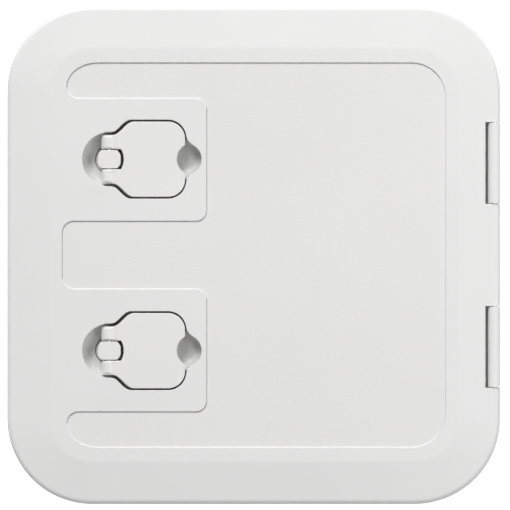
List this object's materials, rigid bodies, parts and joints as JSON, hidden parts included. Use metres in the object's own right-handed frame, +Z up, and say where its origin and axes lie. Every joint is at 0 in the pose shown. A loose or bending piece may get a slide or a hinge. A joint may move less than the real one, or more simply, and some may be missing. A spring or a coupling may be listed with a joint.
{
  "type": "deck hatch",
  "caption": "Nearly square moulded boat deck hatch: a hinged lid with a recessed tread panel and flush lift-and-turn latches, on a flanged collar with a seal.",
  "frame": {"origin": "centre of the collar's bottom edge", "axes": "+Z up out of the deck, +X towards the hinge side, +Y towards the upper latch"},
  "size_m": [0.375, 0.379, 0.055],
  "materials": {
    "white_plastic": "satin moulded white, UV-stable",
    "stainless_steel": "fine turned",
    "black_nylon": "satin moulded black",
    "black_rubber": "matt black"
  },
  "bodies": {
    "base": {"frame": "white_plastic"},
    "lid_body": {"lid": "white_plastic", "lid_seal": "black_rubber", "hinge_pin_upper": "stainless_steel", "hinge_pin_lower": "stainless_steel", "spindle_head_upper": "white_plastic", "spindle_head_lower": "white_plastic", "spindle_o_ring_upper": "black_rubber", "spindle_o_ring_lower": "black_rubber"},
    "handle_body_upper": {"handle_upper": "white_plastic", "handle_pin_upper": "stainless_steel"},
    "handle_body_lower": {"handle_lower": "white_plastic", "handle_pin_lower": "stainless_steel"},
    "cam_body_upper": {"cam_shaft_upper": "stainless_steel", "cam_upper": "black_nylon", "cam_washer_upper": "stainless_steel", "cam_nut_upper": "stainless_steel"},
    "cam_body_lower": {"cam_shaft_lower": "stainless_steel", "cam_lower": "black_nylon", "cam_washer_lower": "stainless_steel", "cam_nut_lower": "stainless_steel"}
  },
  "joints": [
    {"name": "lid_open", "type": "hinge", "parent": "base", "child": "lid_body", "pos_m": [0.1829, 0, 0.0487], "axis": [0, 1, 0], "range_deg": [0, 175]},
    {"name": "handle_lift_upper", "type": "hinge", "parent": "lid_body", "child": "handle_body_upper", "pos_m": [-0.1103, 0.0727, 0.0492], "axis": [0, -1, 0], "range_deg": [0, 90]},
    {"name": "handle_lift_lower", "type": "hinge", "parent": "lid_body", "child": "handle_body_lower", "pos_m": [-0.1103, -0.0727, 0.0492], "axis": [0, -1, 0], "range_deg": [0, 90]},
    {"name": "cam_turn_upper", "type": "hinge", "parent": "lid_body", "child": "cam_body_upper", "pos_m": [-0.1097, 0.0727, 0.033], "axis": [0, 0, 1], "range_deg": [0, 90]},
    {"name": "cam_turn_lower", "type": "hinge", "parent": "lid_body", "child": "cam_body_lower", "pos_m": [-0.1097, -0.0727, 0.033], "axis": [0, 0, 1], "range_deg": [0, 90]}
  ]
}
